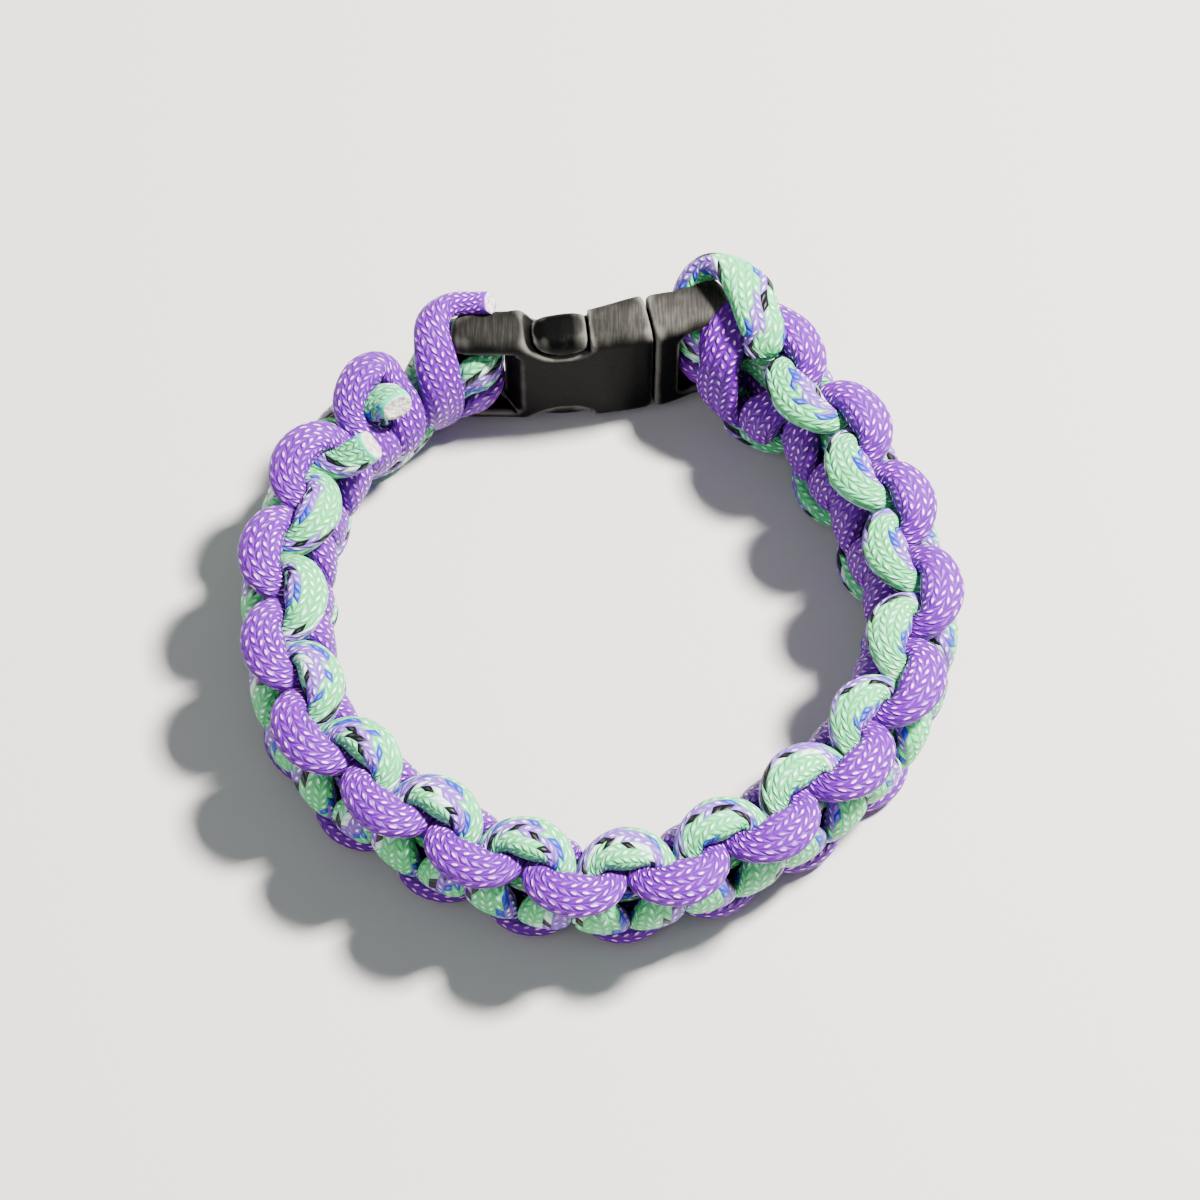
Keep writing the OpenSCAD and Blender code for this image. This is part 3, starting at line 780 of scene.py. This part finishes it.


# the buckle's two moulded halves, softened at every edge and made pale there, as wear and painted
# highlight
buckleLook = {
    "voxel": 0.00018,
    "merge": 1e-6,
    "soften": (7, 0.5),  # rounds, and how far in each
    "halfT": 2.6,  # mm
    # along the buckle: how far its faces swell away from the middle, in mm
    "outerSwell": [
        (0, 0.75), (7, 0.8), (8.6, 0), (13, 0), (15, -0.35), (17.5, 0),
        (20.6, 0.5), (21.0, 0.3), (24, 0.5), (27, 1.55), (29.4, 2.0)],
    "innerSwell": [(0, 0), (17, 0), (20.6, 0.1), (21.0, 0.3), (24, 0.2), (27, 0), (29.4, -0.1)],
    "slotHalfW": 5.9,
    "slotWall": (7.49, 0.7, 1.2),  # its end wall, and how far before and past it points move
    "slotSlope": (1.9, -2.4, 2.6),  # by how much at its outer edge, from where, over how far
    "tip": (26.5, 0.45),  # the right end is drawn out past here, by this much
    "rim": (6.3, 1.0),  # the two long rims get brushed wear and painted sheen from here outwards, over this far
    "rimShine": [  # painted sheen along the buckle; below 0 keeps the tongue beside the prong dark
        (0, 0.09), (7.5, 0.14), (8.8, -0.07), (12.6, -0.07),
        (13.6, 0.26), (19, 0.44), (29.4, 0.46)],
    "rimFade": 0.8,  # the painted sheen is less towards the outer and inner faces, as on a round bar
    "edgeBlurRounds": 8,
    "edgeBlurSpread": 0.6,
}


def ramped(values, start, over):
    return np.clip((values - start) / over, 0, 1)


def shapeMoulding(mesh, look):
    co = pointsOf(mesh) / mm - band["place"]

    # straighten the buckle: along it, and out from its middle line
    bend, middle = band["buckleBend"], band["buckleL"] / 2
    t = math.radians(band["buckleTilt"])
    x, y = co[:, 0] - band["buckleX"], co[:, 1] - band["buckleY"]
    x, y = x * math.cos(t) + y * math.sin(t), y * math.cos(t) - x * math.sin(t)
    along = np.arctan2(x, bend - y) * bend + middle
    out = bend - np.hypot(x, bend - y)

    # swell its faces, slope the slot's end wall and draw the tip out
    outer = np.interp(along, *zip(*look["outerSwell"])) * ramped(out, 0, look["halfT"])
    inner = np.interp(along, *zip(*look["innerSwell"])) * ramped(-out, 0, look["halfT"])
    out = out + outer - inner
    wall, before, after = look["slotWall"]
    slope, foot, over = look["slotSlope"]
    inSlot = (np.abs(co[:, 2]) < look["slotHalfW"]) & (along > wall - before)
    along = along - slope * inSlot * np.clip(wall + after - along, 0, 1) * ramped(out, foot, over)
    start, by = look["tip"]
    along = along + by * ramped(along, start, band["buckleL"] - start) ** 2

    # and bend it back to where it was
    angle = (along - middle) / bend
    x, y = (bend - out) * np.sin(angle), bend - (bend - out) * np.cos(angle)
    co[:, 0] = band["buckleX"] + x * math.cos(t) - y * math.sin(t)
    co[:, 1] = band["buckleY"] + x * math.sin(t) + y * math.cos(t)
    co[:, 2] = np.maximum(co[:, 2], -band["place"][2])
    mesh.vertices.foreach_set("co", ((co + band["place"]) * mm).ravel())

    # painted sheen on the two long rims, with brushed wear, brightest in the middle of each rim
    rim = ramped(np.abs(co[:, 2]), *look["rim"]) * np.interp(along, *zip(*look["rimShine"]))
    rim = rim * (1 - look["rimFade"] * ramped(np.abs(out), 0, look["halfT"]) ** 2)
    mesh.attributes.new("rim", "FLOAT", "POINT").data.foreach_set("value", rim)


def markEdgeWearAndHighlight(mesh, look):  # how far a point stands out from its neighbours: most on edges, which are painted pale as wear and highlight
    count = len(mesh.vertices)
    co, normal = pointsOf(mesh), pointsOf(mesh, "normal")
    pairs = np.zeros(len(mesh.edges) * 2, int)
    mesh.edges.foreach_get("vertices", pairs)
    a, b = pairs.reshape(-1, 2).T
    links = np.bincount(a, minlength=count) + np.bincount(b, minlength=count)

    def around(values):
        return (np.bincount(a, values[b], count) + np.bincount(b, values[a], count)) / links

    middle = np.stack([around(co[:, c]) for c in range(3)], axis=1)
    stand = ((co - middle) * normal).sum(1) / look["voxel"]
    spread = look["edgeBlurSpread"]
    for _ in range(look["edgeBlurRounds"]):
        stand = (1 - spread) * stand + spread * around(stand)
    mesh.attributes.new("edgeWearAndHighlight", "FLOAT", "POINT").data.foreach_set("value", stand)


def mouldedPiece(name, node, look, material):
    bm = bmesh.new()
    bm.from_mesh(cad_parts[node].data)
    bmesh.ops.remove_doubles(bm, verts=bm.verts, dist=look["merge"])
    bmesh.ops.recalc_face_normals(bm, faces=bm.faces)
    piece = newPiece(name, meshFrom(bm, bpy.data.meshes.new(name)))

    # an even, fine copy of the solid, smoothed until every edge is round
    fine = piece.modifiers.new("fine", "REMESH")
    fine.mode = "VOXEL"
    fine.voxel_size = look["voxel"]
    depsgraph = bpy.context.evaluated_depsgraph_get()
    shape = bpy.data.meshes.new_from_object(piece.evaluated_get(depsgraph))
    piece.modifiers.clear()
    bm = bmesh.new()
    bm.from_mesh(shape)
    rounds, by = look["soften"]
    for _ in range(rounds):
        bmesh.ops.smooth_vert(
            bm, verts=bm.verts, factor=by, use_axis_x=True, use_axis_y=True, use_axis_z=True)
    smoothAll(bm)
    meshFrom(bm, shape)

    shapeMoulding(shape, look)
    markEdgeWearAndHighlight(shape, look)
    shape.materials.clear()
    shape.materials.append(material)
    piece.data = shape
    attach(piece, "root")
    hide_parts(node)
    return piece


plasticLook = {
    "black": (0.0014, 0.0014, 0.0015, 1),
    # pale colour of wear, and of the painted sheen and highlight
    "wearAndSheen": (0.20, 0.19, 0.17, 1),
    "combScale": (5200.0, 420.0, 900.0),  # fine scratches that run across the buckle
    "combTurn": (0.0, 0.0, -0.14),
    "grainScale": 3000.0,
    "blotchScale": 260.0,
    "edgePaleFrom": (0.018, 0.07),  # edge measure from which an edge turns pale, as wear and painted highlight, and is fully pale
    "uneven": 0.03,  # blotches move that by so much
    "scuff": ((0.50, 0.72), (0.42, 0.62)),  # scratches and blotches that show on the faces
    "rim": ((0.38, 0.66), (0.35, 0.6)),  # and on the long rims' painted sheen, where all of it shows a little
    "rimLeast": 0.55,
    "shares": (0.5, 0.02, 0.75),  # how pale edges (wear and painted highlight), scuffs and rims (painted sheen and wear) get
    "rough": (0.46, 0.14, 0.10),  # plain, less where pale with wear and painted sheen, and the grain's part
    "bumps": (0.6, 0.4),  # the grain's part and the scratches'
    "relief": 0.00005,
    "reliefStrength": 0.8,
    "gloss": 0.03,
}


def plasticMaterial(name, look):
    material, wire, shader = newMaterial(name)
    place = wire.node("ShaderNodeTexCoord", out=3)
    combed = wire.node("ShaderNodeMapping", {
        "Vector": place, "Scale": look["combScale"], "Rotation": look["combTurn"]})
    brush = wire.node("ShaderNodeTexNoise", {"Vector": combed, "Scale": 1.0, "Detail": 3.0})
    grain = wire.node(
        "ShaderNodeTexNoise", {"Vector": place, "Scale": look["grainScale"], "Detail": 3.0})
    blotch = wire.node(
        "ShaderNodeTexNoise", {"Vector": place, "Scale": look["blotchScale"], "Detail": 4.0})
    edgeWearAndHighlight, rim = (
        wire.node("ShaderNodeAttribute", out=2, attribute_name=mark, attribute_type="GEOMETRY")
        for mark in ("edgeWearAndHighlight", "rim"))

    def shown(mask):
        return look["rimLeast"] + (1 - look["rimLeast"]) * mask

    # pale edges: worn plastic, and painted highlight on the rounded lips
    edge = (edgeWearAndHighlight + (blotch - 0.5) * look["uneven"]).step(*look["edgePaleFrom"])
    brushed, blotched = look["scuff"]
    scuff = brush.step(*brushed) * blotch.step(*blotched)
    brushed, blotched = look["rim"]
    # the rims' painted sheen, broken by brushed scratches and blotches
    rim = rim * shown(brush.step(*brushed)) * shown(blotch.step(*blotched))
    onEdge, onFace, onRim = look["shares"]
    # wear, painted sheen and painted highlight, all as one pale colour
    wearAndSheen = edge * onEdge + scuff * onFace + rim * onRim
    join(wearAndSheen.mixed(look["black"], look["wearAndSheen"]), shader, "Base Color")
    plain, less, spread = look["rough"]
    join(plain - wearAndSheen * less + (grain - 0.5) * spread, shader, "Roughness")
    grains, scratches = look["bumps"]
    bump = wire.node("ShaderNodeBump", {
        "Height": grain * grains + brush * scratches,
        "Distance": look["relief"], "Strength": look["reliefStrength"]})
    join(bump, shader, "Normal")
    shader.inputs["Specular IOR Level"].default_value = look["gloss"]
    return material


wornPlastic = plasticMaterial("wornPlastic", plasticLook)
socketShell = mouldedPiece("socketShell", "buckle_socket", buckleLook, wornPlastic)
plugShell = mouldedPiece("plugShell", "buckle_plug", buckleLook, wornPlastic)
shellFaces = [len(piece.data.polygons) for piece in (socketShell, plugShell)]
print("buckle moulded:", shellFaces, "faces")


# pale floor and soft studio light
studio = {
    "floorSize": 1.2,
    "floorColour": (0.50, 0.489, 0.477, 1),
    "floorRough": 0.7,
    "key": {"at": (0.36, 0.15, 0.62), "size": 0.10, "power": 36.0, "colour": (1.0, 0.97, 0.92)},
    "fill": {"at": (-0.45, -0.35, 0.55), "size": 0.6, "power": 1.6, "colour": (0.92, 0.96, 1.0)},
    "aim": (0, 0, 0.005),
    "world": (0.80, 0.82, 0.85, 1),
    "worldPower": 0.42,
}


def addLight(name, look, aim):
    data = bpy.data.lights.new(name, "AREA")
    data.size = look["size"]
    data.energy = look["power"]
    data.color = look["colour"]
    light = bpy.data.objects.new(name, data)
    light.location = look["at"]
    light.rotation_euler = (Vector(aim) - light.location).to_track_quat("-Z", "Y").to_euler()
    bpy.context.collection.objects.link(light)


def addFloor(look):
    bm = bmesh.new()
    bmesh.ops.create_grid(bm, x_segments=1, y_segments=1, size=look["floorSize"] / 2)
    floor = newPiece("paleFloor", meshFrom(bm, bpy.data.meshes.new("paleFloor")))
    material, _, shader = newMaterial("palePaint")
    shader.inputs["Base Color"].default_value = look["floorColour"]
    shader.inputs["Roughness"].default_value = look["floorRough"]
    floor.data.materials.append(material)


def addWorld(look):
    world = bpy.data.worlds.new("studioWorld")
    world.use_nodes = True
    background = world.node_tree.nodes["Background"]
    background.inputs["Color"].default_value = look["world"]
    background.inputs["Strength"].default_value = look["worldPower"]
    bpy.context.scene.world = world


addFloor(studio)
addLight("keyLight", studio["key"], studio["aim"])
addLight("fillLight", studio["fill"], studio["aim"])
addWorld(studio)
print("floor and lights set")
